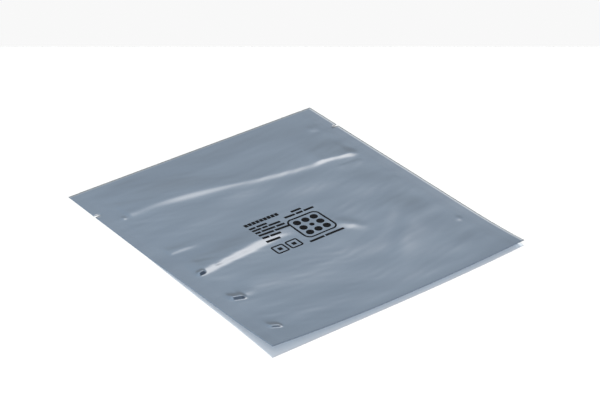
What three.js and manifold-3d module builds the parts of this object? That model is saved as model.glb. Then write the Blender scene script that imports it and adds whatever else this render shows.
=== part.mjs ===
// Static shielding bag of metallised film, lying empty on a flat surface.
// Millimetres. +X runs across the bag, +Y from the folded end to the open end, +Z up from the surface.
import * as THREE from 'three';
import { mergeVertices } from 'three/addons/utils/BufferGeometryUtils.js';
import Module from 'manifold-3d';

// Bag as laid out flat. Its length is measured along the side seals, and FOLD_BOW is how much
// further the folded end stands out in its middle.
const WIDTH = 229;
const LENGTH = 256;
const FOLD_BOW = 3;
const FILM = 0.08;
const SEAL = 12.7;

// Tear notches in the side seals
const NOTCH_TO_OPEN_END = 36;
const NOTCH_DEPTH = 5;
const NOTCH_MOUTH = 2.2;

// Space between the two films
const PLY_GAP = 0.1;
const PUFF = 0.8;
const PUFF_RISE = 34;

// Lift of the folded end and of the left side by it off the surface
const FOLD_LIFT = 2.2;
const FOLD_LIFT_RUN = 58;
const LEFT_LIFT = 2.4;
const LEFT_LIFT_RUN_ACROSS = 112;
const LEFT_LIFT_RUN_ALONG = 150;

// Ruffle that the side seals pull into both edges of the pocket
const RUFFLE_HEIGHT = 0.22;
const RUFFLE_PITCH = 37;
const RUFFLE_REACH = 26;

// Creases raised in the front film. Places run from -1 to 1, across from seal to seal and along
// from fold to open end. bow and height are lengths, and so are the widths, nearWidth towards the
// fold and farWidth towards the open end; peak is a share of the crease's run.
const LONG_PUCKER = {
  from: { across: -1, along: 0.64 },
  to: { across: 1, along: 0.39 },
  bow: 5,
  nearWidth: 6,
  farWidth: 14,
  height: 0.85,
  peak: 0.6,
};
const BROAD_PUCKER = {
  from: { across: -1, along: -0.11 },
  to: { across: 0.2, along: -0.02 },
  bow: 0.5,
  nearWidth: 6,
  farWidth: 16,
  height: 1.1,
  peak: 0.3,
};
const SHORT_PUCKER = {
  from: { across: -1, along: 0.137 },
  to: { across: -0.61, along: 0.133 },
  bow: 0,
  nearWidth: 3.5,
  farWidth: 7,
  height: 0.45,
  peak: 0.25,
};
const SLANT_PUCKER = {
  from: { across: 0.28, along: -0.44 },
  to: { across: 1, along: -0.1 },
  bow: 0,
  nearWidth: 7,
  farWidth: 12,
  height: 0.35,
  peak: 0.6,
};
const MIDDLE_PUCKER = {
  from: { across: 0.16, along: -0.2 },
  to: { across: 0.45, along: -0.36 },
  bow: 0,
  nearWidth: 5,
  farWidth: 9,
  height: 0.6,
  peak: 0.35,
};

// Short steep tucks that the left seal pinches into the front film, of the same shape
const UPPER_TUCK = {
  from: { across: -1, along: -0.13 },
  to: { across: -0.88, along: -0.125 },
  bow: 0,
  nearWidth: 3,
  farWidth: 4,
  height: 1,
  peak: 0.45,
};
const MIDDLE_TUCK = {
  from: { across: -1, along: -0.41 },
  to: { across: -0.69, along: -0.46 },
  bow: 0,
  nearWidth: 3,
  farWidth: 8,
  height: 1.6,
  peak: 0.2,
};
const LOWER_TUCK = {
  from: { across: -0.98, along: -0.77 },
  to: { across: -0.8, along: -0.83 },
  bow: 0,
  nearWidth: 3,
  farWidth: 6,
  height: 1.1,
  peak: 0.35,
};

// Grid of the film: columns across, rows along, and the rows that round the fold
const SEAL_COLUMNS = 2;
const POCKET_COLUMNS = 18;
const POCKET_ROWS = 52;
const FOLD_ROWS = 3;

// How far a cutting body stands clear of what it cuts
const CUT_CLEARANCE = 2;

// Finish of the film
const FILM_COLOUR = 0x8492a3;
const FILM_ROUGHNESS = 0.3;
const FILM_METALNESS = 0.6;

// Sizes that follow from the ones above
const HALF_WIDTH = WIDTH / 2;
const HALF_LENGTH = LENGTH / 2;
const POCKET_HALF = HALF_WIDTH - SEAL;
const COLUMNS = POCKET_COLUMNS + 2 * SEAL_COLUMNS;
const ROWS = POCKET_ROWS + FOLD_ROWS;
const FOLD_RADIUS = FILM + PLY_GAP / 2;
const NOTCH_Y = HALF_LENGTH + FOLD_BOW / 2 - NOTCH_TO_OPEN_END;
const SEAL_TOP_LIMIT = FOLD_LIFT + LEFT_LIFT + 2 * FILM;

const { lerp, smoothstep } = THREE.MathUtils;

// A place on the pocket as a point on the bag
function onPocket({ across, along }) {
  return new THREE.Vector2(across * POCKET_HALF, along * HALF_LENGTH);
}

// A crease raised in the front film, along a bowed line between two places. It swells to its
// full height at the share `peak` of its run and dies out at both ends.
class Pucker {
  constructor({ from, to, bow, nearWidth, farWidth, height, peak }) {
    this.line = new THREE.LineCurve(onPocket(from), onPocket(to));
    this.bow = bow;
    this.nearWidth = nearWidth;
    this.farWidth = farWidth;
    this.height = height;
    this.bend = Math.log(1 / 2) / Math.log(peak);
  }

  heightAt(x, y) {
    const share = (x - this.line.v1.x) / (this.line.v2.x - this.line.v1.x);
    if (share <= 0 || share >= 1) {
      return 0;
    }
    const swell = Math.sin(Math.PI * share ** this.bend);
    const off = y - this.line.getPoint(share).y - this.bow * Math.sin(Math.PI * share);
    return this.height * swell * bell(off / (off < 0 ? this.nearWidth : this.farWidth));
  }
}

const PUCKERS = [
  LONG_PUCKER,
  BROAD_PUCKER,
  SHORT_PUCKER,
  SLANT_PUCKER,
  MIDDLE_PUCKER,
  UPPER_TUCK,
  MIDDLE_TUCK,
  LOWER_TUCK,
].map((sizes) => new Pucker(sizes));

// A smooth bump that is 1 at 0 and nearly gone at 2
function bell(distance) {
  return Math.exp(-distance * distance);
}

// Height of the back film's underside over the surface: the folded end curls up, and so does the
// left side, from some way up its seal to the fold
function undersideAt(x, y) {
  const toFold = y + HALF_LENGTH;
  const fold = Math.max(0, 1 - toFold / FOLD_LIFT_RUN);
  const across = Math.max(0, 1 - (x + HALF_WIDTH) / LEFT_LIFT_RUN_ACROSS);
  const along = Math.max(0, 1 - (toFold / LEFT_LIFT_RUN_ALONG) ** 2);
  return FOLD_LIFT * fold ** 2 + LEFT_LIFT * along * across ** 2;
}

// Y with the fold's bow, which dies out towards the open end; half of it keeps the bag centred
function bowedY(x, y) {
  const share = (1 - (x / HALF_WIDTH) ** 2) * (HALF_LENGTH - y) / LENGTH;
  return y + FOLD_BOW * (1 / 2 - share);
}

// Space between the films: none beyond PLY_GAP at the seals, the fold and the open end
function gapAt(x, y) {
  const toSeal = POCKET_HALF - Math.abs(x);
  const toEnd = HALF_LENGTH - Math.abs(y);
  const free = smoothstep(toSeal, 0, PUFF_RISE) * smoothstep(toEnd, 0, PUFF_RISE);
  const ruffle = RUFFLE_HEIGHT * Math.cos(2 * Math.PI * y / RUFFLE_PITCH) * bell(toSeal / RUFFLE_REACH);
  const creases = PUCKERS.reduce((sum, crease) => sum + crease.heightAt(x, y), 0);
  const hold = smoothstep(toSeal, 0, SEAL / 2) * smoothstep(toEnd, 0, SEAL);
  return PLY_GAP + Math.max(0, PUFF * free + hold * (ruffle + creases));
}

// X of a grid column: the seals' own columns, then pocket columns that crowd towards the seals
function columnX(column) {
  const inner = column - SEAL_COLUMNS;
  if (inner < 0) {
    return -POCKET_HALF + inner * SEAL / SEAL_COLUMNS;
  }
  if (inner > POCKET_COLUMNS) {
    return POCKET_HALF + (inner - POCKET_COLUMNS) * SEAL / SEAL_COLUMNS;
  }
  return -POCKET_HALF * Math.cos(Math.PI * inner / POCKET_COLUMNS);
}

// The angle that a row of the fold has turned through, from a little past the nose to a right angle
function foldAngle(row) {
  const nose = 1 / 2;
  return Math.PI / 2 * Math.min(1, (row + nose) / (FOLD_ROWS + nose));
}

// Y of a grid row: the rounded fold first, then evenly spaced rows up to the open end
function rowY(row) {
  const straightFrom = -HALF_LENGTH + FOLD_RADIUS;
  if (row <= FOLD_ROWS) {
    return straightFrom - FOLD_RADIUS * Math.cos(foldAngle(row)) / Math.cos(foldAngle(0));
  }
  return lerp(straightFrom, HALF_LENGTH, (row - FOLD_ROWS) / POCKET_ROWS);
}

// A closed box of grid cells whose corners are moved by `place`, given column, row and side.
// Every box cuts its cells along the same diagonal, so films that share cells never cross.
function griddedShell(firstColumn, lastColumn, firstRow, lastRow, place) {
  const columns = lastColumn - firstColumn;
  const rows = lastRow - firstRow;
  const box = new THREE.BoxGeometry(columns, rows, 1, columns, rows, 1);
  box.translate(firstColumn + columns / 2, firstRow + rows / 2, 0);
  box.deleteAttribute('normal');
  box.deleteAttribute('uv');
  const shell = mergeVertices(box);
  const corners = shell.getAttribute('position');
  const corner = new THREE.Vector3();
  for (let index = 0; index < corners.count; index += 1) {
    corner.fromBufferAttribute(corners, index);
    const placed = place(Math.round(corner.x), Math.round(corner.y), corner.z > 0);
    corners.setXYZ(index, placed.x, placed.y, placed.z);
  }
  return shell;
}

// The outside of the bag: both films, the side seals and the rounded fold
function bagOutside() {
  return griddedShell(0, COLUMNS, 0, ROWS, (column, row, front) => {
    const x = columnX(column);
    const y = rowY(row);
    const inSeal = column < SEAL_COLUMNS || column > COLUMNS - SEAL_COLUMNS;
    const gap = inSeal ? 0 : gapAt(x, y);
    const middle = undersideAt(x, y) + FILM + gap / 2;
    const half = (FILM + gap / 2) * Math.sin(foldAngle(row));
    return new THREE.Vector3(x, bowedY(x, y), front ? middle + half : middle - half);
  });
}

// The pocket between the films, carried on past the open end so that it cuts the mouth
function pocketSpace() {
  const lastRow = ROWS + 1;
  return griddedShell(SEAL_COLUMNS, COLUMNS - SEAL_COLUMNS, FOLD_ROWS, lastRow, (column, row, front) => {
    const x = columnX(column);
    const y = row > ROWS ? HALF_LENGTH + CUT_CLEARANCE : rowY(row);
    const floor = undersideAt(x, y) + FILM;
    const gap = gapAt(x, Math.min(y, HALF_LENGTH));
    return new THREE.Vector3(x, bowedY(x, y), front ? floor + gap : floor);
  });
}

// The wedge that cuts one tear notch; side is -1 for the left seal and 1 for the right
function notchWedge(side) {
  const mouth = HALF_WIDTH + CUT_CLEARANCE;
  const spread = NOTCH_MOUTH / 2 * (NOTCH_DEPTH + CUT_CLEARANCE) / NOTCH_DEPTH;
  const outline = new THREE.Shape([
    new THREE.Vector2(side * (HALF_WIDTH - NOTCH_DEPTH), NOTCH_Y),
    new THREE.Vector2(side * mouth, NOTCH_Y + spread),
    new THREE.Vector2(side * mouth, NOTCH_Y - spread),
  ]);
  const depth = SEAL_TOP_LIMIT + 2 * CUT_CLEARANCE;
  const wedge = new THREE.ExtrudeGeometry(outline, { depth, bevelEnabled: false });
  return wedge.translate(0, 0, -CUT_CLEARANCE);
}

const wasm = await Module();
wasm.setup();

// A geometry as a solid for the boolean cuts
function toSolid(geometry) {
  const bare = new THREE.BufferGeometry();
  bare.setAttribute('position', geometry.getAttribute('position'));
  bare.setIndex(geometry.getIndex());
  const merged = mergeVertices(bare);
  return new wasm.Manifold(new wasm.Mesh({
    numProp: 3,
    vertProperties: Float32Array.from(merged.getAttribute('position').array),
    triVerts: Uint32Array.from(merged.getIndex().array),
  }));
}

// A solid as a geometry that can be drawn
function toGeometry(solid) {
  const mesh = solid.getMesh();
  const geometry = new THREE.BufferGeometry();
  geometry.setAttribute('position', new THREE.BufferAttribute(mesh.vertProperties, mesh.numProp));
  geometry.setIndex(new THREE.BufferAttribute(mesh.triVerts, 1));
  geometry.computeVertexNormals();
  return geometry;
}

// The film: metallised, blue-grey and half glossy
function filmMaterial() {
  return new THREE.MeshStandardMaterial({
    color: FILM_COLOUR,
    roughness: FILM_ROUGHNESS,
    metalness: FILM_METALNESS,
  });
}

// The whole bag: its outside less the pocket and the two notches
function shieldingBag() {
  const bag = toSolid(bagOutside())
    .subtract(toSolid(pocketSpace()))
    .subtract(toSolid(notchWedge(-1)))
    .subtract(toSolid(notchWedge(1)));
  const mesh = new THREE.Mesh(toGeometry(bag), filmMaterial());
  mesh.name = 'shielding_bag';
  return mesh;
}

const part = new THREE.Group();
part.name = 'static_shielding_bag';
part.add(shieldingBag());

export default part;
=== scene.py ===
"""Visual model of a static shielding bag: metallised film lying empty on a pale, glossy table.

The bag is one web of film, folded at one end and heat-sealed along both sides. Sizes are in millimetres,
and MM turns them into metres where vertices are placed. +X runs across the bag, +Y from the folded end to
the open end, and +Z up from the table.
"""

import logging  # noqa: E402
import math  # noqa: E402
from dataclasses import dataclass, field  # noqa: E402

import bpy  # noqa: E402
import numpy as np  # noqa: E402
from mathutils import Matrix, Vector  # noqa: E402


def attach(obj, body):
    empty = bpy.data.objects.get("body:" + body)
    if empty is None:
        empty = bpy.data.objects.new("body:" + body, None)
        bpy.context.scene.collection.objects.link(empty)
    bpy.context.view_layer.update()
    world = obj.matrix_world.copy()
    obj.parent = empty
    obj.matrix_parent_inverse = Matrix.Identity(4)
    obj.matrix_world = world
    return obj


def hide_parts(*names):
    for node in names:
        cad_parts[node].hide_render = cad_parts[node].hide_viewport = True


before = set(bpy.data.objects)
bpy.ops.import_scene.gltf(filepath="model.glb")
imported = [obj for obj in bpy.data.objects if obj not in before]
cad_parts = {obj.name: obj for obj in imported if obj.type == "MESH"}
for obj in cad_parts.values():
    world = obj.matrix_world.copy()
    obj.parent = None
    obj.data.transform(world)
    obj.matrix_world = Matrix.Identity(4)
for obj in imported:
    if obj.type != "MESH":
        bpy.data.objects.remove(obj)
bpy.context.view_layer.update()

LOG = logging.getLogger("shielding_bag")
MM = 0.001
BAG_NODE = "shielding_bag"
Array = np.ndarray
Colour = tuple[float, float, float]


def linear(red: int, green: int, blue: int) -> Colour:
    """Turns a screen colour into the linear values that shaders take.

    Args:
        red: Red from 0 to 255.
        green: Green from 0 to 255.
        blue: Blue from 0 to 255.

    Returns:
        The three linear values, from 0 to 1.
    """
    parts = (value / 255 for value in (red, green, blue))
    return tuple(v / 12.92 if v <= 0.04045 else ((v + 0.055) / 1.055) ** 2.4 for v in parts)


def bell(distance: Array) -> Array:
    """Returns a smooth bump, e to the minus distance squared: 1 at 0 and nearly gone at 2."""
    return np.exp(-(distance**2))


def ease(share: Array) -> Array:
    """Returns a smooth step from 0 at a share of 0 to 1 at a share of 1: three s squared less two s cubed."""
    held = np.clip(share, 0.0, 1.0)
    return held * held * (3.0 - 2.0 * held)


def rounded_ramp(distance: Array, run: Array, rounding: float) -> Array:
    """Returns a straight climb from 0 to 1 with rounded ends, from the difference of two log-cosh curves.

    Args:
        distance: Signed distance from the top of the climb, growing upwards.
        run: Length of the straight climb.
        rounding: Length over which each end is rounded.

    Returns:
        0 well before the climb, 1 well past it.
    """
    foot = np.logaddexp((distance + run) / rounding, -(distance + run) / rounding)
    head = np.logaddexp(distance / rounding, -distance / rounding)
    return 0.5 + rounding / (2.0 * run) * (foot - head)


@dataclass(frozen=True)
class BagSizes:
    """Sizes of the bag as laid out flat.

    Its length is along the side seals, and the fold stands out by fold_bow in its middle.
    """

    width: float = 229.0
    length: float = 256.0
    fold_bow: float = 3.0
    film: float = 0.08
    seal: float = 12.7
    ply_gap: float = 0.1
    notch_from_open_end: float = 36.0
    notch_depth: float = 5.0
    notch_mouth: float = 2.2
    notch_tip: float = 0.1

    @property
    def half_width(self) -> float:
        """Returns half the width."""
        return self.width / 2.0

    @property
    def half_length(self) -> float:
        """Returns half the length."""
        return self.length / 2.0

    @property
    def pocket_half(self) -> float:
        """Returns the distance from the middle to a side seal's inner edge."""
        return self.half_width - self.seal

    @property
    def notch_y(self) -> float:
        """Returns the place of the tear notches along the bag."""
        return self.half_length - self.notch_from_open_end

    @property
    def fold_radius(self) -> float:
        """Returns the outer radius of the folded end."""
        return self.film + self.ply_gap / 2.0

    def bowed(self, x: Array, y: Array) -> Array:
        """Moves places along the bag so that the fold bows out, less and less towards the open end.

        Half the bow is added everywhere, which keeps the bag centred.

        Args:
            x: Places across the bag.
            y: Places along the bag, as if it had no bow.

        Returns:
            The bowed places along the bag.
        """
        share = (1.0 - (x / self.half_width) ** 2) * (self.half_length - y) / self.length
        return y + self.fold_bow * (0.5 - share)


@dataclass(frozen=True)
class Lie:
    """How the bag lies on the table: its folded end curls up, and so does the lower part of its left side."""

    sizes: BagSizes
    fold_lift: float = 2.2
    fold_run: float = 58.0
    left_lift: float = 2.4
    left_run_across: float = 112.0
    left_run_along: float = 150.0

    def heights(self, x: Array, y: Array) -> Array:
        """Works out the height of the back film's underside over the table.

        The folded end's lift grows with the square of the distance past its bend line. The left side's grows
        so across the bag. Along the bag it levels out, as one less the square of the distance from the fold.

        Args:
            x: Places across the bag.
            y: Places along the bag.

        Returns:
            The heights, 0 where the film lies on the table.
        """
        to_fold = y + self.sizes.half_length
        fold = np.maximum(0.0, 1.0 - to_fold / self.fold_run)
        across = np.maximum(0.0, 1.0 - (x + self.sizes.half_width) / self.left_run_across)
        along = np.maximum(0.0, 1.0 - (to_fold / self.left_run_along) ** 2)
        return self.fold_lift * fold**2 + self.left_lift * along * across**2


@dataclass(frozen=True)
class Pucker:
    """A crease raised in the front film along a line that runs roughly across the bag.

    Its line is a cubic near the places given. Across the line the height is a bell with its own width on each
    side, and along it the height eases in and out over its two fades.
    """

    places: tuple[tuple[float, float], ...]
    height: float
    near_width: tuple[float, float]
    far_width: float
    fade_in: float
    fade_out: float

    def share(self, x: Array) -> Array:
        """Returns how far along the crease each place is, from 0 at its start to 1 at its end."""
        start, end = self.places[0][0], self.places[-1][0]
        return np.clip((x - start) / (end - start), 0.0, 1.0)

    def middle(self, x: Array) -> Array:
        """Returns where the line runs: the cubic, or a lower power for fewer places, that best meets them."""
        xs, ys = zip(*self.places)
        power = min(3, len(xs) - 1)
        return np.polynomial.Polynomial.fit(xs, ys, power)(x)

    def swell(self, x: Array) -> Array:
        """Returns the share of the full height along the crease, from 0 at its ends to 1."""
        start, end = self.places[0][0], self.places[-1][0]
        return ease((x - start) / self.fade_in) * ease((end - x) / self.fade_out)

    def near_side(self, x: Array, off: Array) -> Array:
        """Works out the profile on the side of the fold: half a bell, whose width changes along the crease.

        Args:
            x: Places across the bag.
            off: Distances from the crease's line, below 0 on this side.

        Returns:
            The share of the height.
        """
        first, second = self.near_width
        return bell(off / (first + (second - first) * self.share(x)))

    def heights(self, x: Array, y: Array) -> Array:
        """Works out how far the crease raises the film.

        Args:
            x: Places across the bag.
            y: Places along the bag.

        Returns:
            The rises.
        """
        off = y - self.middle(x)
        profile = np.where(off < 0.0, self.near_side(x, off), bell(off / self.far_width))
        return self.height * self.swell(x) * profile


@dataclass(frozen=True)
class Terrace(Pucker):
    """A crease whose side towards the fold is a straight slope, so that it mirrors light as a clear band.

    Its near_width is the length of the slope.
    """

    rounding: float = 1.5

    def near_side(self, x: Array, off: Array) -> Array:
        """Works out the profile on the side of the fold: a straight climb with rounded ends.

        Args:
            x: Places across the bag.
            off: Distances from the crease's line, below 0 on this side.

        Returns:
            The share of the height.
        """
        first, second = self.near_width
        run = first + (second - first) * self.share(x)
        return rounded_ramp(off + self.rounding, run, self.rounding)


@dataclass(frozen=True)
class Ripples:
    """Fine waves in the front film: a sum of cosines with seeded directions, lengths and phases.

    They are long across the bag and short along it. With a fan, they bend towards the open end as they near
    the side seals.
    """

    seed: int
    height: float
    length_across: tuple[float, float]
    length_along: tuple[float, float]
    waves: int = 14
    seal_reach: float = 0.0
    fan: float = 0.0

    def heights(self, x: Array, y: Array, to_seal: Array) -> Array:
        """Works out the ripples.

        Args:
            x: Places across the bag.
            y: Places along the bag.
            to_seal: Distances to the nearer side seal. Ripples with a seal_reach die out over it.

        Returns:
            The rises, of either sign.
        """
        dice = np.random.default_rng(self.seed)
        total = np.zeros_like(x)
        for _ in range(self.waves):
            across = dice.uniform(*self.length_across) * dice.choice((-1.0, 1.0))
            along, phase = dice.uniform(*self.length_along), dice.uniform(0.0, 2.0 * math.pi)
            fanned = y - self.fan * np.abs(x)
            total += np.cos(2.0 * math.pi * (x / across + fanned / along) + phase)
        held = bell(to_seal / self.seal_reach) if self.seal_reach > 0.0 else 1.0
        return self.height * total * held / math.sqrt(self.waves)


@dataclass(frozen=True)
class Creases:
    """Every crease of the front film, in groups. Left and right are the seals' inner edges."""

    left: float
    right: float

    def long_pucker(self) -> list[Pucker]:
        """Returns the long pucker below the open end: its line, swell and sharp right end, and two marks."""
        line = (
            (-96, 81), (-88.7, 80.4), (-72, 80), (-55.3, 78.6), (-38, 75.6), (-22, 72),
            (-5, 68), (11.3, 64.3), (28, 60.6), (44.7, 57.6), (60, 55.6), (76, 54.5),
        )
        swell = ((-92, 81), (-55.3, 79.6), (-22, 73.2), (11.3, 65.2), (50, 57))
        sharp_end = ((58, 57), (66, 55.7), (76, 54.1), (86, 52.2), (self.right, 49))
        first_dot = ((self.left, 76.6), (-98, 76.6), (-94.5, 76.4))
        dark_dash = ((72, 39.9), (84, 39.5), (97, 39))
        return [
            Pucker(line, 0.6, (5.2, 4.8), far_width=15, fade_in=4, fade_out=16),
            Pucker(swell, 0.24, (9.5, 6.5), far_width=22, fade_in=40, fade_out=50),
            Pucker(sharp_end, 0.76, (3.6, 3.2), far_width=20, fade_in=13, fade_out=9),
            Pucker(first_dot, 0.5, (1.6, 1.6), far_width=3, fade_in=1.5, fade_out=4),
            Pucker(dark_dash, 0.2, (7.0, 7.0), far_width=0.9, fade_in=4, fade_out=4),
        ]

    def streaks(self) -> list[Pucker]:
        """Returns the wide streak at the left seal with its dimple, the thin one and the slanted one."""
        wide = ((self.left, -16.4), (-92, -15.2), (-65, -12.2), (-39, -7.9), (-18.7, -6.3), (6, -4.5))
        dimple = ((-84, -17.5), (-81, -17.3), (-77.5, -17))
        thin = ((self.left, 16.2), (-84, 16), (-62, 15.5))
        slanted = ((17, -23), (27, -28.6), (41, -39.5))
        return [
            Terrace(wide, 1.22, (5.8, 7.6), far_width=16.0, fade_in=10, fade_out=50, rounding=1.6),
            Pucker(dimple, 0.14, (1.2, 1.2), far_width=1.2, fade_in=2, fade_out=2),
            Pucker(thin, 0.46, (2.3, 4.6), far_width=7.0, fade_in=3, fade_out=34),
            Pucker(slanted, 0.66, (4.0, 7.0), far_width=9.0, fade_in=8, fade_out=13),
        ]

    def broad_swells(self) -> list[Pucker]:
        """Returns the three broad swells in the lower half."""
        upper = ((28, -56), (38, -50), (65, -35.5), (85, -13), (self.right, 1))
        lower = ((14, -103), (35, -80), (58, -61), (78, -47), (self.right, -34))
        level = ((-84, -62), (-40, -59), (-9, -55), (11, -44), (28, -40))
        return [
            Pucker(upper, 0.62, (8.0, 8.0), far_width=16.0, fade_in=30, fade_out=40),
            Pucker(lower, 1.0, (13.0, 13.0), far_width=13.0, fade_in=40, fade_out=36),
            Pucker(level, 0.34, (12.0, 12.0), far_width=22.0, fade_in=30, fade_out=20),
        ]

    def right_marks(self) -> list[Pucker]:
        """Returns two small bright marks near the right seal."""
        low = ((95, -74.4), (98, -74), (self.right, -73.4))
        high = ((88, 99), (95, 96.5), (101, 93))
        return [
            Pucker(low, 0.3, (1.8, 1.8), far_width=4.0, fade_in=3, fade_out=3),
            Pucker(high, 0.22, (2.8, 2.8), far_width=6.0, fade_in=5, fade_out=4),
        ]

    def tucks(self) -> list[Pucker]:
        """Returns the three steep tucks at the left seal, and the soft tail of the middle one."""
        upper = ((-102, -20.0), (-98, -19.8), (-92.6, -19.3))
        middle = ((-102.5, -58.2), (-97.8, -60.0), (-88.5, -63.4))
        tail = ((-95, -58.2), (-86, -58.8), (-76, -59.2))
        lower = ((-101.5, -104), (-97.3, -106), (-91, -109.3))
        return [
            Terrace(upper, 1.2, (2.2, 2.2), far_width=3.0, fade_in=0.5, fade_out=3.5, rounding=0.35),
            Terrace(middle, 1.45, (3.1, 3.1), far_width=5.0, fade_in=1, fade_out=4.5, rounding=0.35),
            Pucker(tail, 0.4, (3.6, 4.0), far_width=7.0, fade_in=4, fade_out=12),
            Terrace(lower, 1.0, (2.2, 2.2), far_width=4.0, fade_in=1.5, fade_out=3.5, rounding=0.3),
        ]

    def everything(self) -> list[Pucker]:
        """Returns all creases."""
        first = self.long_pucker() + self.streaks() + self.broad_swells()
        return first + self.right_marks() + self.tucks()


@dataclass
class FilmShape:
    """The heights of both films: how they lie, the space between them and every crease in the front one."""

    sizes: BagSizes = field(default_factory=BagSizes)
    puff: float = 0.8
    puff_rise: float = 34.0
    seal_hold: float = 2.0
    contact_rounding: float = 0.12
    ripples: tuple[Ripples, ...] = (
        Ripples(5, 0.06, (90, 260), (22, 50)),
        Ripples(17, 0.06, (60, 160), (12, 26), seal_reach=24.0, fan=0.35),
        Ripples(21, 0.018, (25, 70), (6, 13), fan=0.3),
        Ripples(29, 0.1, (45, 130), (36, 80)),
    )

    def __post_init__(self) -> None:
        """Works out the lie and the creases from the sizes."""
        self.lie = Lie(self.sizes)
        self.creases = Creases(-self.sizes.pocket_half, self.sizes.pocket_half).everything()

    def underside(self, x: Array, y: Array) -> Array:
        """Returns the height of the back film's underside over the table."""
        return self.lie.heights(x, y)

    def gap(self, x: Array, y: Array) -> Array:
        """Works out the space between the films: the puff, and the creases where seals and ends let go.

        Args:
            x: Places across the bag.
            y: Places along the bag.

        Returns:
            The spaces, never less than ply_gap inside the pocket.
        """
        s = self.sizes
        to_seal = s.pocket_half - np.abs(x)
        to_end = s.half_length - np.abs(y)
        swell = self.puff * ease(to_seal / self.puff_rise) * ease(to_end / self.puff_rise)
        hold = ease(to_seal / self.seal_hold) * ease(to_end / s.seal)
        rise = sum(crease.heights(x, y) for crease in self.creases)
        rise = rise + sum(r.heights(x, y, to_seal) for r in self.ripples)
        free = swell + hold * rise
        return s.ply_gap + hold * 0.5 * (free + np.sqrt(free**2 + self.contact_rounding**2))


@dataclass
class FilmGrid:
    """Grid lines over the bag, closer together at its creases, with one narrow strip of rows at the notches.

    A crowd is the middle, the half width and the extra density of a crowded stretch.
    """

    sizes: BagSizes
    columns: int = 98
    rows: int = 192
    rows_above_notch: int = 20
    seal_columns: int = 4
    fold_rows: int = 4
    density_samples: int = 4001
    column_crowds: tuple[tuple[float, float, float], ...] = ((-94.0, 12.0, 1.6), (96.0, 14.0, 0.7))
    row_crowds: tuple[tuple[float, float, float], ...] = (
        (-16.0, 9.0, 1.0), (15.0, 6.0, 0.8), (-58.0, 9.0, 1.2), (-103.0, 8.0, 1.0), (64.0, 22.0, 0.5),
    )

    def crowded(
        self, start: float, end: float, cells: int, crowds: tuple[tuple[float, float, float], ...]
    ) -> Array:
        """Spaces lines by a density of 1 plus a bell at each crowd, through the density's running sum.

        Args:
            start: Place of the first line.
            end: Place of the last line.
            cells: Number of spaces between lines.
            crowds: Middle, half width and extra density of each crowded stretch.

        Returns:
            The places of all lines.
        """
        fine = np.linspace(start, end, self.density_samples)
        density = 1.0 + sum(extra * bell((fine - middle) / width) for middle, width, extra in crowds)
        filled = np.concatenate([[0.0], np.cumsum((density[1:] + density[:-1]) / 2.0)])
        return np.interp(np.linspace(0.0, filled[-1], cells + 1), filled, fine)

    def column_places(self) -> Array:
        """Returns X of every grid column, with the seals' inner edges and the notch tips among them."""
        s = self.sizes
        tip = s.half_width - s.notch_depth
        inner = self.crowded(-s.pocket_half, s.pocket_half, self.columns, self.column_crowds)
        rim = np.linspace(tip, s.half_width, self.seal_columns + 1)
        web = np.linspace(s.pocket_half, tip, self.seal_columns + 1)[1:-1]
        return np.concatenate([-rim[::-1], -web[::-1], inner, web, rim])

    def row_places(self) -> tuple[Array, int]:
        """Works out Y of every grid row, from the fold to the open end.

        Returns:
            The places, and the number of the row below the notch strip.
        """
        s = self.sizes
        straight = -s.half_length + s.fold_radius
        below = self.crowded(straight, s.notch_y - s.notch_mouth, self.rows, self.row_crowds)
        above = np.linspace(s.notch_y + s.notch_mouth, s.half_length, self.rows_above_notch)
        strip = s.notch_y + np.array([-0.5, 0.5]) * s.notch_tip
        return np.concatenate([below, strip, above]), len(below)

    def places(self) -> tuple[Array, Array, Array, int]:
        """Lays the grid out: the fold's own rows, then the straight rows, with a V opened at both notches.

        Returns:
            X and Y of every grid point, each row's share of the half thickness, and the row below the strip.
        """
        s = self.sizes
        x = self.column_places()
        y, strip = self.row_places()
        turns = (np.arange(self.fold_rows) + 0.5) / (self.fold_rows + 0.5) * math.pi / 2.0
        nose = y[0] - s.fold_radius * np.cos(turns) / math.cos(turns[0])
        share = np.concatenate([np.sin(turns), np.ones(len(y))])
        y = np.concatenate([nose, y])
        strip = strip + self.fold_rows
        grid_x, grid_y = np.meshgrid(x, y)
        past_tip = (np.abs(x) - (s.half_width - s.notch_depth)) / s.notch_depth
        open_by = np.clip(past_tip, 0.0, 1.0) * s.notch_mouth / 2.0
        half = np.maximum(open_by, s.notch_tip / 2.0)
        grid_y[strip] = s.notch_y - half
        grid_y[strip + 1] = s.notch_y + half
        return grid_x, grid_y, share, strip


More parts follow.
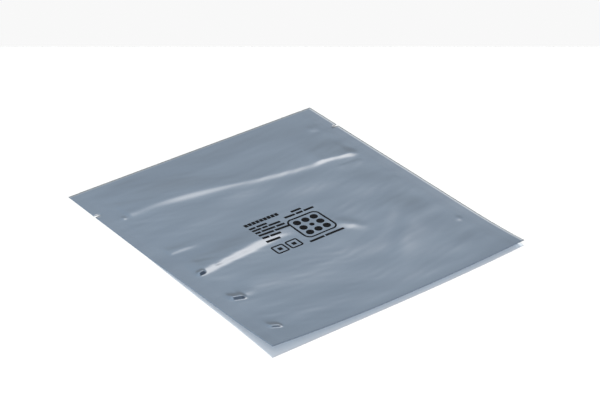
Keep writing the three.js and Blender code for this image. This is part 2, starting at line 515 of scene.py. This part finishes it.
class MeshBuilder:
    """Gathers grids of vertices and faces of whole-array quads, then writes one mesh."""

    def __init__(self) -> None:
        """Starts with nothing."""
        self.points: list[Array] = []
        self.quads: list[Array] = []
        self.count = 0

    def grid(self, x: Array, y: Array, z: Array) -> Array:
        """Adds a grid of vertices.

        Args:
            x: X of each, in millimetres.
            y: Y of each.
            z: Z of each.

        Returns:
            The vertex numbers, in the grid's own shape.
        """
        numbers = np.arange(self.count, self.count + x.size).reshape(x.shape)
        self.points.append(np.stack([x, y, z], axis=-1).reshape(-1, 3) * MM)
        self.count += x.size
        return numbers

    def faces(self, corners: tuple[Array, Array, Array, Array], turned: bool = False) -> None:
        """Adds one quad for each place of four equal arrays of corners.

        Args:
            corners: Vertex numbers of the first, second, third and fourth corners.
            turned: Whether the faces look the other way.
        """
        quads = np.stack(corners[::-1] if turned else corners, axis=-1).reshape(-1, 4)
        self.quads.append(quads)

    def skin(self, grid: Array, keep: Array | None = None, turned: bool = False) -> None:
        """Adds the cells of a grid of vertex numbers, upwards unless turned.

        Args:
            grid: Vertex numbers by row and column.
            keep: Which cells to add. All of them if not given.
            turned: Whether the faces look down.
        """
        corners = (grid[:-1, :-1], grid[:-1, 1:], grid[1:, 1:], grid[1:, :-1])
        if keep is not None:
            corners = tuple(c[keep] for c in corners)
        self.faces(corners, turned)

    def wall(self, upper: Array, lower: Array, turned: bool = False) -> None:
        """Joins two equally long lines of vertices with quads.

        Args:
            upper: Vertex numbers of the upper line.
            lower: Vertex numbers of the lower line.
            turned: Whether the faces look the other way.
        """
        self.faces((upper[:-1], lower[:-1], lower[1:], upper[1:]), turned)

    def mesh(self, name: str) -> bpy.types.Mesh:
        """Writes everything gathered into a smooth-shaded mesh.

        Args:
            name: The mesh's name.

        Returns:
            The mesh.
        """
        points = np.concatenate(self.points)
        quads = np.concatenate(self.quads)
        mesh = bpy.data.meshes.new(name)
        mesh.vertices.add(len(points))
        mesh.vertices.foreach_set("co", points.ravel())
        mesh.loops.add(quads.size)
        mesh.loops.foreach_set("vertex_index", quads.ravel())
        mesh.polygons.add(len(quads))
        mesh.polygons.foreach_set("loop_start", np.arange(0, quads.size, 4))
        mesh.polygons.foreach_set("use_smooth", np.ones(len(quads), dtype=bool))
        mesh.update(calc_edges=True)
        mesh.validate()
        return mesh


def show(mesh: bpy.types.Mesh, material: bpy.types.Material) -> bpy.types.Object:
    """Puts a mesh into the scene as an object at the origin.

    Args:
        mesh: The mesh, named as the object is to be.
        material: Its material.

    Returns:
        The object.
    """
    mesh.materials.append(material)
    piece = bpy.data.objects.new(mesh.name, mesh)
    bpy.context.scene.collection.objects.link(piece)
    return piece


class Nodes:
    """Short ways to add and join shader nodes in one tree."""

    def __init__(self, tree: bpy.types.NodeTree) -> None:
        """Clears a tree and works in it."""
        self.tree = tree
        tree.nodes.clear()

    def add(self, kind: str, **settings: object) -> bpy.types.Node:
        """Adds a node.

        Args:
            kind: The node's type name.
            **settings: Properties to set on it.

        Returns:
            The node.
        """
        node = self.tree.nodes.new(kind)
        for name, value in settings.items():
            setattr(node, name, value)
        return node

    def feed(self, socket: bpy.types.NodeSocket, value: object) -> None:
        """Links a socket to another, or sets its value."""
        if isinstance(value, bpy.types.NodeSocket):
            self.tree.links.new(value, socket)
        elif isinstance(value, tuple) and len(value) == 3 and socket.type == "RGBA":
            socket.default_value = (*value, 1.0)
        else:
            socket.default_value = value

    def math(self, operation: str, *values: object) -> bpy.types.NodeSocket:
        """Adds a Math node.

        Args:
            operation: Its operation.
            *values: Numbers or sockets.

        Returns:
            Its result.
        """
        node = self.add("ShaderNodeMath", operation=operation)
        for socket, value in zip(node.inputs, values):
            self.feed(socket, value)
        return node.outputs[0]

    def span(
        self, value: object, low: float, high: float, to_low: float = 0.0, to_high: float = 1.0
    ) -> bpy.types.NodeSocket:
        """Maps a range smoothly on to another.

        Args:
            value: The number to map.
            low: Where the range starts.
            high: Where it ends.
            to_low: Result at the start.
            to_high: Result at the end.

        Returns:
            The mapped number.
        """
        node = self.add("ShaderNodeMapRange", interpolation_type="SMOOTHSTEP")
        self.feed(node.inputs["Value"], value)
        for name, part in (("From Min", low), ("From Max", high), ("To Min", to_low), ("To Max", to_high)):
            self.feed(node.inputs[name], part)
        return node.outputs["Result"]

    def blend(self, share: object, first: object, second: object, kind: str = "MIX") -> bpy.types.NodeSocket:
        """Mixes two colours.

        Args:
            share: Share of the second.
            first: The first colour.
            second: The second colour.
            kind: How they blend.

        Returns:
            The mixed colour.
        """
        node = self.add("ShaderNodeMix", data_type="RGBA", blend_type=kind)
        for index, value in ((0, share), (6, first), (7, second)):
            self.feed(node.inputs[index], value)
        return node.outputs[2]

    def noise(self, vector: object, scale: float, detail: float = 2.0) -> bpy.types.NodeSocket:
        """Adds a noise pattern.

        Args:
            vector: Coordinates to read.
            scale: Its scale.
            detail: Its octaves.

        Returns:
            The pattern, about 0 to 1.
        """
        node = self.add("ShaderNodeTexNoise")
        for name, value in (("Vector", vector), ("Scale", scale), ("Detail", detail)):
            self.feed(node.inputs[name], value)
        return node.outputs["Fac"]

    def stretched(self, vector: object, scale: tuple[float, float, float]) -> bpy.types.NodeSocket:
        """Returns coordinates scaled along each axis."""
        node = self.add("ShaderNodeMapping")
        self.feed(node.inputs["Vector"], vector)
        node.inputs["Scale"].default_value = scale
        return node.outputs["Vector"]

    def bump(
        self, height: object, strength: float, distance: float, after: object = None
    ) -> bpy.types.NodeSocket:
        """Adds a bump.

        Args:
            height: The height pattern.
            strength: Share of the bump, from 0 to 1.
            distance: Height in metres of a full step of the pattern.
            after: A bump to add this one to.

        Returns:
            The bent normal.
        """
        node = self.add("ShaderNodeBump")
        for name, value in (("Height", height), ("Strength", strength), ("Distance", distance)):
            self.feed(node.inputs[name], value)
        if after is not None:
            self.feed(node.inputs["Normal"], after)
        return node.outputs["Normal"]


@dataclass(frozen=True)
class FilmFinish:
    """Metallised film: a blue-grey mirror in a clear skin, with embossed seals, painted highlights at its
    pale edges and notches, and painted shade along the fold.

    Lengths are in millimetres.
    """

    sizes: BagSizes
    colour: Colour = linear(124, 140, 157)
    # The streaks' deeper colour, which is also the painted shade along the fold.
    streak_and_fold_shade: Colour = linear(98, 114, 133)
    # Pale colour of the painted highlights at the right rim, the open end and the notches.
    pale: Colour = linear(206, 214, 222)
    metallic: float = 0.86
    roughness: float = 0.14
    seal_roughness: float = 0.03
    coat: float = 0.1
    coat_roughness: float = 0.08
    # Width and share of the painted shade along the fold.
    fold_shade_width: float = 2.4
    fold_shade_share: float = 0.9
    seal_softness: float = 0.6
    # Reach, full place and share of each painted highlight; for the notches, full place, reach and share.
    right_rim_highlight: tuple[float, float, float] = (3.0, 0.8, 0.95)
    open_rim_highlight: tuple[float, float, float] = (2.6, 0.7, 0.8)
    notch_highlight: tuple[float, float, float] = (1.2, 3.2, 0.85)
    notch_highlight_inset: float = 2.4
    weave_pitch: float = 1.1

    def material(self) -> bpy.types.Material:
        """Builds the material.

        Returns:
            The material, on Object coordinates.
        """
        made = bpy.data.materials.new("metallised_film")
        made.use_nodes = True
        n = Nodes(made.node_tree)
        place = n.add("ShaderNodeTexCoord").outputs["Object"]
        axes = n.add("ShaderNodeSeparateXYZ")
        n.feed(axes.inputs[0], place)
        x, y = axes.outputs[0], axes.outputs[1]
        to_side = n.math("SUBTRACT", self.sizes.half_width * MM, n.math("ABSOLUTE", x))
        seal_edge = self.sizes.seal * MM
        seal = n.span(to_side, seal_edge, seal_edge - self.seal_softness * MM)
        mottle = n.noise(place, 2600.0, 2.0)
        smooth = n.span(mottle, 0.2, 0.8, self.roughness - 0.02, self.roughness + 0.03)
        rough = n.math("ADD", smooth, n.math("MULTIPLY", seal, self.seal_roughness))
        peel = n.bump(n.noise(place, 900.0, 2.0), 0.10, 0.00004)
        bumped = n.bump(self.emboss(n, place, seal), 0.35, 0.00002, peel)
        shader = n.add("ShaderNodeBsdfPrincipled")
        shader.inputs["Metallic"].default_value = self.metallic
        shader.inputs["Coat Weight"].default_value = self.coat
        shader.inputs["Coat Roughness"].default_value = self.coat_roughness
        tone = self.tone(n, place, x, y)
        for name, value in (("Base Color", tone), ("Roughness", rough), ("Normal", bumped)):
            n.feed(shader.inputs[name], value)
        n.feed(n.add("ShaderNodeOutputMaterial").inputs["Surface"], shader.outputs[0])
        return made

    def tone(self, n: Nodes, place: object, x: object, y: object) -> bpy.types.NodeSocket:
        """Works out the film's colour: faintly streaked, with painted highlights at the rims and notches and
        painted shade along the fold.

        Args:
            n: The node tree.
            place: Object coordinates.
            x: X of the place, in metres.
            y: Y of the place.

        Returns:
            The colour.
        """
        streaks = n.noise(n.stretched(place, (9.0, 60.0, 9.0)), 1.0, 3.0)
        streaked = n.blend(n.span(streaks, 0.3, 0.7), self.colour, self.streak_and_fold_shade)
        body = n.blend(0.25, self.colour, streaked)
        # Painted highlight: the colour turns pale at the right rim, the open end and the notches.
        highlighted = n.blend(self.painted_highlight_share(n, x, y), body, self.pale)
        # Painted shade: the colour deepens along the folded end, following its bow.
        across = n.math("DIVIDE", x, self.sizes.half_width * MM)
        bow = n.math("SUBTRACT", 0.5, n.math("MULTIPLY", across, across))
        from_end = n.math("ADD", y, self.sizes.half_length * MM)
        to_fold = n.math("ADD", from_end, n.math("MULTIPLY", bow, self.sizes.fold_bow * MM))
        return n.blend(n.span(to_fold, 0.0, self.fold_shade_width * MM, self.fold_shade_share, 0.0), highlighted, self.streak_and_fold_shade)

    def painted_highlight_share(self, n: Nodes, x: object, y: object) -> bpy.types.NodeSocket:
        """Works out where the painted highlights along the right side, the open end and the two notches show.

        Each rim highlight's values are its reach from the edge, where it is full, and its share.

        Args:
            n: The node tree.
            x: X of the place, in metres.
            y: Y of the place.

        Returns:
            The share of the pale colour, the painted highlight.
        """
        s = self.sizes
        reach, full, share = self.right_rim_highlight
        right = n.span(x, (s.half_width - reach) * MM, (s.half_width - full) * MM, 0.0, share)
        reach, full, share = self.open_rim_highlight
        unbowed = n.math("SUBTRACT", y, s.fold_bow / 2.0 * MM)
        top = n.span(unbowed, (s.half_length - reach) * MM, (s.half_length - full) * MM, 0.0, share)
        off_side = n.math("SUBTRACT", (s.half_width - self.notch_highlight_inset) * MM, n.math("ABSOLUTE", x))
        off_notch = n.math("SUBTRACT", y, (s.notch_y + s.fold_bow / 2.0) * MM)
        squares = [n.math("MULTIPLY", off, off) for off in (off_side, off_notch)]
        square = n.math("ADD", *squares)
        full, reach, share = self.notch_highlight
        spot = n.span(n.math("SQRT", square), full * MM, reach * MM, share, 0.0)
        return n.math("MAXIMUM", n.math("MAXIMUM", right, top), spot)

    def emboss(self, n: Nodes, place: object, seal: object) -> bpy.types.NodeSocket:
        """Works out the fine square pattern that the sealing bars leave, from the product of two sine waves.

        Args:
            n: The node tree.
            place: Object coordinates.
            seal: Share of the seal at the place.

        Returns:
            The pattern's height.
        """
        turned = n.add("ShaderNodeMapping")
        n.feed(turned.inputs["Vector"], place)
        turned.inputs["Rotation"].default_value = (0.0, 0.0, math.radians(45))
        turned.inputs["Scale"].default_value = (2.0 * math.pi / (self.weave_pitch * MM),) * 3
        axes = n.add("ShaderNodeSeparateXYZ")
        n.feed(axes.inputs[0], turned.outputs[0])
        waves = n.math("MULTIPLY", n.math("SINE", axes.outputs[0]), n.math("SINE", axes.outputs[1]))
        return n.math("MULTIPLY", waves, seal)


@dataclass(frozen=True)
class InkFinish:
    """Black printing ink: nearly matt, a little uneven."""

    colour: Colour = linear(10, 11, 15)
    worn: Colour = linear(24, 27, 34)

    def material(self) -> bpy.types.Material:
        """Builds the material.

        Returns:
            The material, on Object coordinates.
        """
        made = bpy.data.materials.new("black_ink")
        made.use_nodes = True
        n = Nodes(made.node_tree)
        place = n.add("ShaderNodeTexCoord").outputs["Object"]
        grain = n.noise(place, 1500.0, 3.0)
        shader = n.add("ShaderNodeBsdfPrincipled")
        n.feed(shader.inputs["Base Color"], n.blend(n.span(grain, 0.35, 0.75), self.colour, self.worn))
        n.feed(shader.inputs["Roughness"], n.span(grain, 0.2, 0.8, 0.5, 0.65))
        shader.inputs["Specular IOR Level"].default_value = 0.06
        n.feed(n.add("ShaderNodeOutputMaterial").inputs["Surface"], shader.outputs[0])
        return made


@dataclass
class FilmWeb:
    """The bag itself as one closed mesh: both films, welded seals, rounded fold, open mouth and notches."""

    shape: FilmShape
    finish: FilmFinish

    def build(self) -> bpy.types.Object:
        """Builds the closed mesh and dresses it.

        Returns:
            The piece, in place of the CAD node.
        """
        s = self.shape.sizes
        grid = FilmGrid(s)
        x, y, share, strip = grid.places()
        first = 2 * grid.seal_columns - 1
        last = x.shape[1] - 1 - first
        inside = (slice(grid.fold_rows, None), slice(first, last + 1))
        gap = np.zeros_like(x)
        gap[:, first : last + 1] = self.shape.gap(x, y)[:, first : last + 1]
        floor = self.shape.underside(x, y)
        half = (s.film + gap / 2.0) * share[:, None]
        middle = floor + s.film + gap / 2.0
        y = s.bowed(x, y)
        made = MeshBuilder()
        front = made.grid(x, y, middle + half)
        back = made.grid(x, y, middle - half)
        inner_front = made.grid(x[inside], y[inside], (floor + s.film + gap)[inside])
        inner_back = made.grid(x[inside], y[inside], (floor + s.film)[inside])
        keep = np.ones((x.shape[0] - 1, x.shape[1] - 1), dtype=bool)
        notch = grid.seal_columns
        keep[strip, :notch] = keep[strip, -notch:] = False
        made.skin(front, keep)
        made.skin(back, keep, turned=True)
        made.skin(inner_front, turned=True)
        made.skin(inner_back)
        self.add_rims(made, front, back, strip, notch)
        self.add_mouth(made, front, back, inner_front, inner_back, first, last)
        made.wall(inner_front[:, 0], inner_back[:, 0])
        made.wall(inner_front[:, -1], inner_back[:, -1], turned=True)
        made.wall(inner_front[0], inner_back[0], turned=True)
        piece = show(made.mesh("bag_film"), self.finish.material())
        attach(piece, "root")
        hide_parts(BAG_NODE)
        return piece

    @staticmethod
    def add_rims(made: MeshBuilder, front: Array, back: Array, strip: int, notch: int) -> None:
        """Closes the two cut sides, the nose of the fold and the walls of the notches.

        Args:
            made: The mesh so far.
            front: Vertex numbers of the front.
            back: Vertex numbers of the back.
            strip: Row below the notch strip.
            notch: Number of columns that a notch cuts.
        """
        for column, turned, cut in ((0, False, slice(None, notch + 1)), (-1, True, slice(-notch - 1, None))):
            for rows in (slice(None, strip + 1), slice(strip + 1, None)):
                made.wall(front[rows, column], back[rows, column], turned=not turned)
            made.wall(front[strip, cut], back[strip, cut], turned=True)
            made.wall(front[strip + 1, cut], back[strip + 1, cut])
            tip = notch if column == 0 else -notch - 1
            made.wall(front[strip : strip + 2, tip], back[strip : strip + 2, tip], turned=not turned)
        made.wall(front[0], back[0])

    @staticmethod
    def add_mouth(
        made: MeshBuilder,
        front: Array,
        back: Array,
        inner_front: Array,
        inner_back: Array,
        first: int,
        last: int,
    ) -> None:
        """Closes the open end: both films' cut edges, and the ends of the welded seals.

        Args:
            made: The mesh so far.
            front: Vertex numbers of the front.
            back: Vertex numbers of the back.
            inner_front: Vertex numbers of the front film's inner side.
            inner_back: Vertex numbers of the back film's inner side.
            first: Column of the left seal's inner edge.
            last: Column of the right seal's inner edge.
        """
        top, under = front[-1], back[-1]
        made.wall(top[first : last + 1], inner_front[-1], turned=True)
        made.wall(inner_back[-1], under[first : last + 1], turned=True)
        made.wall(top[:first], under[:first], turned=True)
        made.wall(top[last + 1 :], under[last + 1 :], turned=True)
        for outer, weld, inner in ((first - 1, first, 0), (last + 1, last, -1)):
            inside = (inner_front[-1][inner], inner_back[-1][inner])
            lips = (top[outer], top[weld], *inside, under[weld], under[outer])
            turned = inner == -1
            made.faces(tuple(np.array([lips[k]]) for k in (0, 1, 2, 3)), turned)
            made.faces(tuple(np.array([lips[k]]) for k in (0, 3, 4, 5)), turned)


@dataclass
class FrontPrint:
    """Black printing on the front film: plain blocks, bars and dots that hug the film, and spell nothing.

    Places are from the print's own origin. The round dots fill a framed square, three by three.
    """

    shape: FilmShape
    finish: InkFinish
    place: tuple[float, float] = (-1.6, -0.8)
    lift: float = 0.08
    ink: float = 0.03
    step: float = 0.8
    frame_middle: tuple[float, float] = (8.0, -12.5)
    frame_half: float = 14.6
    frame_corner: float = 5.5
    frame_stroke: float = 1.4
    dot_pitch: float = 7.8
    dot_radius: float = 3.1
    middle_dot_radius: float = 2.0
    box_middles: tuple[float, ...] = (-31.0, -18.5)
    box_y: float = -25.5
    box_half: float = 5.4
    box_corner: float = 1.8
    box_stroke: float = 1.3
    box_core: float = 3.4
    heading_left: float = -34.0
    heading_y: float = 13.8
    block_pitch: float = 3.45
    block: tuple[float, float] = (2.8, 3.6)
    block_count: int = 9
    dash_thickness: float = 2.2
    dash_gap: float = 1.2
    corner_points: int = 24
    disc_points: int = 32

    def build(self) -> bpy.types.Object:
        """Builds all marks as one mesh of thin closed slabs.

        Returns:
            The piece.
        """
        made = MeshBuilder()
        for x, y, width, height in self.bars():
            self.add_bar(made, x, y, width, height)
        middle_x, middle_y = self.frame_middle
        self.add_frame(made, self.frame_middle, self.frame_half, self.frame_corner, self.frame_stroke)
        for across in (-1, 0, 1):
            for along in (-1, 0, 1):
                radius = self.middle_dot_radius if across == along == 0 else self.dot_radius
                x = middle_x + across * self.dot_pitch
                self.add_disc(made, x, middle_y + along * self.dot_pitch, radius)
        for x in self.box_middles:
            self.add_frame(made, (x, self.box_y), self.box_half, self.box_corner, self.box_stroke)
            self.add_bar(made, x - self.box_core / 2.0, self.box_y, self.box_core, self.box_core)
        piece = show(made.mesh("front_print"), self.finish.material())
        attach(piece, "root")
        return piece

    def bars(self) -> list[tuple[float, float, float, float]]:
        """Lists the plain bars: a heading of blocks, and lines of dashes under it and beside the frame.

        Returns:
            Left end, middle height, length and thickness of each.
        """
        left = self.heading_left
        places = [left + self.block_pitch * number for number in range(self.block_count)]
        found = [(place, self.heading_y, *self.block) for place in places]
        lines = (
            (left, 7.9, (5.5, 9.0)),
            (left, 4.2, (8.0, 4.5, 10.5)),
            (left, 0.2, (4.5, 12.0, 7.5)),
            (left, -3.9, (13.5, 13.0)),
            (left, -8.2, (6.0, 9.5)),
            (left, -13.0, (12.5,)),
            (6.0, 10.2, (9.0,)),
            (-3.0, 6.2, (9.5, 6.0, 9.0)),
            (-8.0, -31.0, (13.0, 17.0)),
        )
        for start, y, lengths in lines:
            for length in lengths:
                found.append((start, y, length, self.dash_thickness))
                start += length + self.dash_gap
        return found

    def surface(self, x: Array, y: Array) -> Array:
        """Returns the height of the front film at each place."""
        s = self.shape.sizes
        return self.shape.underside(x, y) + 2.0 * s.film + self.shape.gap(x, y)

    def add_slab(self, made: MeshBuilder, x: Array, y: Array, closed: bool = False) -> None:
        """Adds a thin slab over a grid of places, a little above the film.

        Args:
            made: The mesh so far.
            x: X of each place from the print's own origin, by row and column.
            y: Y of each place from there.
            closed: Whether the rows run round and meet themselves.
        """
        x = x + self.place[0]
        y = y + self.place[1]
        height = self.surface(x, y)
        y = self.shape.sizes.bowed(x, y)
        upper = made.grid(x, y, height + self.lift)
        lower = made.grid(x, y, height + self.lift - self.ink)
        if closed:
            upper, lower = (np.concatenate([g, g[:, :1]], axis=1) for g in (upper, lower))
        made.skin(upper)
        made.skin(lower, turned=True)
        made.wall(upper[0], lower[0])
        made.wall(upper[-1], lower[-1], turned=True)
        if not closed:
            made.wall(upper[:, 0], lower[:, 0], turned=True)
            made.wall(upper[:, -1], lower[:, -1])

    def add_bar(self, made: MeshBuilder, x: float, y: float, width: float, height: float) -> None:
        """Adds an upright or level bar.

        Args:
            made: The mesh so far.
            x: Its left end.
            y: Its middle.
            width: Its length.
            height: Its thickness.
        """
        across = np.linspace(x, x + width, max(2, round(width / self.step) + 1))
        along = np.linspace(y - height / 2.0, y + height / 2.0, max(2, round(height / self.step) + 1))
        self.add_slab(made, *np.meshgrid(across, along))

    def add_frame(
        self, made: MeshBuilder, middle: tuple[float, float], half: float, corner: float, stroke: float
    ) -> None:
        """Adds a square outline with rounded corners: four quarter circles, joined by straight sides.

        Args:
            made: The mesh so far.
            middle: X and Y of its middle.
            half: Half its outer width.
            corner: The corners' outer radius.
            stroke: The outline's width.
        """
        points = 4 * self.corner_points
        turn = np.linspace(0.0, 2.0 * math.pi, points, endpoint=False) + math.pi / points
        side_x = middle[0] + np.sign(np.cos(turn)) * (half - corner)
        side_y = middle[1] + np.sign(np.sin(turn)) * (half - corner)
        radius = np.array([corner, corner - stroke / 2.0, corner - stroke])[:, None]
        self.add_slab(made, side_x + radius * np.cos(turn), side_y + radius * np.sin(turn), closed=True)

    def add_disc(self, made: MeshBuilder, x: float, y: float, radius: float) -> None:
        """Adds a solid disc: circles of shrinking radius by angle, the last one too small to see.

        Args:
            made: The mesh so far.
            x: X of its middle.
            y: Y of its middle.
            radius: Its radius.
        """
        angles = np.linspace(0.0, 2.0 * math.pi, self.disc_points, endpoint=False)
        turn, reach = np.meshgrid(angles, radius * np.array([1.0, 0.5, 0.01]))
        self.add_slab(made, x + reach * np.cos(turn), y + reach * np.sin(turn), closed=True)


@dataclass(frozen=True)
class Patch:
    """A soft round patch of the surroundings: heading from +Y towards +X, elevation and radius in degrees."""

    heading: float
    elevation: float
    radius: float
    level: float = 1.0
    colour: Colour = (1.0, 1.0, 1.0)


@dataclass
class Studio:
    """The table, the light around it and the camera."""

    focal_px: float = 2344.0
    picture_px: float = 600.0
    heading: float = 37.41
    elevation: float = 31.17
    target: tuple[float, float] = (21.3, 20.5)
    distance: float = 1758.0
    table_behind: float = 249.0
    low_level: float = 0.64
    climb: float = 0.7
    dimming: float = 0.88
    dim_sharpness: float = 3.0
    dim_tint: Colour = (0.15, 0.42, 1.0)
    dim_tint_level: float = 0.08
    shade: float = 0.22
    shade_heights: tuple[float, float] = (0.3, 0.5)
    seen_level: float = 0.94
    sensor: float = 36.0
    table_reach: float = 3.0
    table_depth: float = 5.0
    table_white: float = 0.95
    table_mirror: Colour = (0.97, 1.0, 1.0)
    table_roughness: float = 0.03
    table_mirror_share: float = 0.68
    table_seen_glow: float = 0.11
    table_mirrored_glow: float = 0.95
    lamp: Patch = Patch(48.0, 45.6, 8.0, 2.9, (1.0, 0.745, 0.56))
    dim_side: Patch = Patch(100.0, 56.0, 30.0)

    def direction(self, heading: float, elevation: float) -> Vector:
        """Returns a unit vector: heading degrees from +Y towards +X, and elevation degrees upwards."""
        turn, rise = math.radians(heading), math.radians(elevation)
        return Vector((math.sin(turn) * math.cos(rise), math.cos(turn) * math.cos(rise), math.sin(rise)))

    def camera(self) -> bpy.types.Object:
        """Sets the camera where it looks down on the bag's near left corner.

        Returns:
            The camera.
        """
        data = bpy.data.cameras.new("camera")
        data.sensor_width = self.sensor
        data.lens = self.focal_px / self.picture_px * data.sensor_width
        view = self.direction(self.heading, -self.elevation)
        eye = Vector((*self.target, 0.0)) * MM - view * self.distance * MM
        camera = bpy.data.objects.new("camera", data)
        camera.matrix_world = Matrix.Translation(eye) @ view.to_track_quat("-Z", "Y").to_matrix().to_4x4()
        bpy.context.scene.collection.objects.link(camera)
        bpy.context.scene.camera = camera
        return camera

    def table(self) -> bpy.types.Object:
        """Lays the pale, glossy table, which ends behind the bag.

        Returns:
            The table top.
        """
        far = self.direction(self.heading, 0.0)
        side = Vector((far.y, -far.x, 0.0))
        edge = Vector((*self.target, 0.0)) * MM + far * self.table_behind * MM
        ends = [edge - side * self.table_reach, edge + side * self.table_reach]
        near = [end - far * self.table_depth for end in reversed(ends)]
        mesh = bpy.data.meshes.new("table")
        mesh.from_pydata([tuple(corner) for corner in ends + near], [], [(3, 2, 1, 0)])
        piece = show(mesh, self.table_material())
        return piece

    def table_material(self) -> bpy.types.Material:
        """Builds the table's finish: a white body under a mirror-like skin, lifted to white where it is seen.

        Returns:
            The material.
        """
        made = bpy.data.materials.new("glossy_white")
        made.use_nodes = True
        n = Nodes(made.node_tree)
        body = n.add("ShaderNodeBsdfDiffuse")
        n.feed(body.inputs["Color"], (self.table_white,) * 3)
        skin = n.add("ShaderNodeBsdfGlossy")
        n.feed(skin.inputs["Color"], self.table_mirror)
        n.feed(skin.inputs["Roughness"], self.table_roughness)
        mixed = n.add("ShaderNodeMixShader")
        n.feed(mixed.inputs[0], self.table_mirror_share)
        n.feed(mixed.inputs[1], body.outputs[0])
        n.feed(mixed.inputs[2], skin.outputs[0])
        glow = n.add("ShaderNodeEmission")
        path = n.add("ShaderNodeLightPath")
        by_camera = n.math("MULTIPLY", path.outputs["Is Camera Ray"], self.table_seen_glow)
        by_mirror = n.math("MULTIPLY", path.outputs["Is Glossy Ray"], self.table_mirrored_glow)
        n.feed(glow.inputs["Strength"], n.math("ADD", by_camera, by_mirror))
        total = self.both(n, mixed.outputs[0], glow.outputs[0])
        n.feed(n.add("ShaderNodeOutputMaterial").inputs["Surface"], total)
        return made

    def world(self) -> None:
        """Surrounds the bag with soft light, brighter overhead, with a soft warm lamp and a dim side.

        The camera sees it white.
        """
        world = bpy.data.worlds.new("studio")
        world.use_nodes = True
        n = Nodes(world.node_tree)
        way = n.add("ShaderNodeTexCoord").outputs["Generated"]
        axes = n.add("ShaderNodeSeparateXYZ")
        n.feed(axes.inputs[0], way)
        height = n.math("MAXIMUM", axes.outputs[2], 0.0)
        room = n.math("ADD", self.low_level, n.math("MULTIPLY", height, self.climb))
        room = n.math("ADD", room, n.span(height, *self.shade_heights, -self.shade, 0.0))
        dimmed = self.glow(n, way, self.dim_side, self.dim_sharpness)
        dim = n.math("SUBTRACT", 1.0, n.math("MULTIPLY", dimmed, self.dimming))
        lit = n.math("MULTIPLY", self.glow(n, way, self.lamp, 1.0), self.lamp.level)
        white = (1.0, 1.0, 1.0)
        plain = self.background(n, white, n.math("MULTIPLY", room, dim))
        warm = self.background(n, self.lamp.colour, lit)
        cold = self.background(n, self.dim_tint, n.math("MULTIPLY", dimmed, self.dim_tint_level))
        light = self.both(n, self.both(n, plain, warm), cold)
        seen = n.add("ShaderNodeMixShader")
        n.feed(seen.inputs[0], n.add("ShaderNodeLightPath").outputs["Is Camera Ray"])
        n.feed(seen.inputs[1], light)
        n.feed(seen.inputs[2], self.background(n, white, self.seen_level))
        n.feed(n.add("ShaderNodeOutputWorld").inputs["Surface"], seen.outputs[0])
        bpy.context.scene.world = world

    @staticmethod
    def both(n: Nodes, first: object, second: object) -> bpy.types.NodeSocket:
        """Returns the sum of two shaders."""
        total = n.add("ShaderNodeAddShader")
        n.feed(total.inputs[0], first)
        n.feed(total.inputs[1], second)
        return total.outputs[0]

    @staticmethod
    def background(n: Nodes, colour: Colour, strength: object) -> bpy.types.NodeSocket:
        """Adds a background shader.

        Args:
            n: The node tree.
            colour: Its colour.
            strength: Its strength.

        Returns:
            The shader.
        """
        node = n.add("ShaderNodeBackground")
        n.feed(node.inputs["Color"], colour)
        n.feed(node.inputs["Strength"], strength)
        return node.outputs[0]

    def glow(self, n: Nodes, way: object, patch: Patch, sharpness: float) -> bpy.types.NodeSocket:
        """Works out how much of a soft round patch of the surroundings each direction sees.

        The share is e to the minus of a power of the cosine's drop, measured by its drop at the radius.

        Args:
            n: The node tree.
            way: The direction.
            patch: The patch.
            sharpness: The power. A higher one gives a flatter middle and a clearer edge.

        Returns:
            The share, from 0 to 1.
        """
        towards = n.add("ShaderNodeVectorMath", operation="DOT_PRODUCT")
        n.feed(towards.inputs[0], way)
        towards.inputs[1].default_value = self.direction(patch.heading, patch.elevation)
        drop = n.math("SUBTRACT", 1.0, towards.outputs["Value"])
        at_radius = 1.0 - math.cos(math.radians(patch.radius))
        measure = n.math("DIVIDE", n.math("MAXIMUM", drop, 0.0), at_radius)
        return n.math("EXPONENT", n.math("MULTIPLY", n.math("POWER", measure, sharpness), -1.0))


def main() -> None:
    """Builds the bag, its printing and the studio, and reports each piece."""
    logging.basicConfig(level=logging.INFO, format="%(message)s")
    bpy.context.scene.view_settings.view_transform = "Standard"
    studio = Studio()
    studio.camera()
    studio.table()
    studio.world()
    shape = FilmShape()
    film = FilmWeb(shape, FilmFinish(shape.sizes)).build()
    LOG.info("%s: %d faces", film.name, len(film.data.polygons))
    ink = FrontPrint(shape, InkFinish()).build()
    LOG.info("%s: %d faces", ink.name, len(ink.data.polygons))


if __name__ == "__main__":
    main()
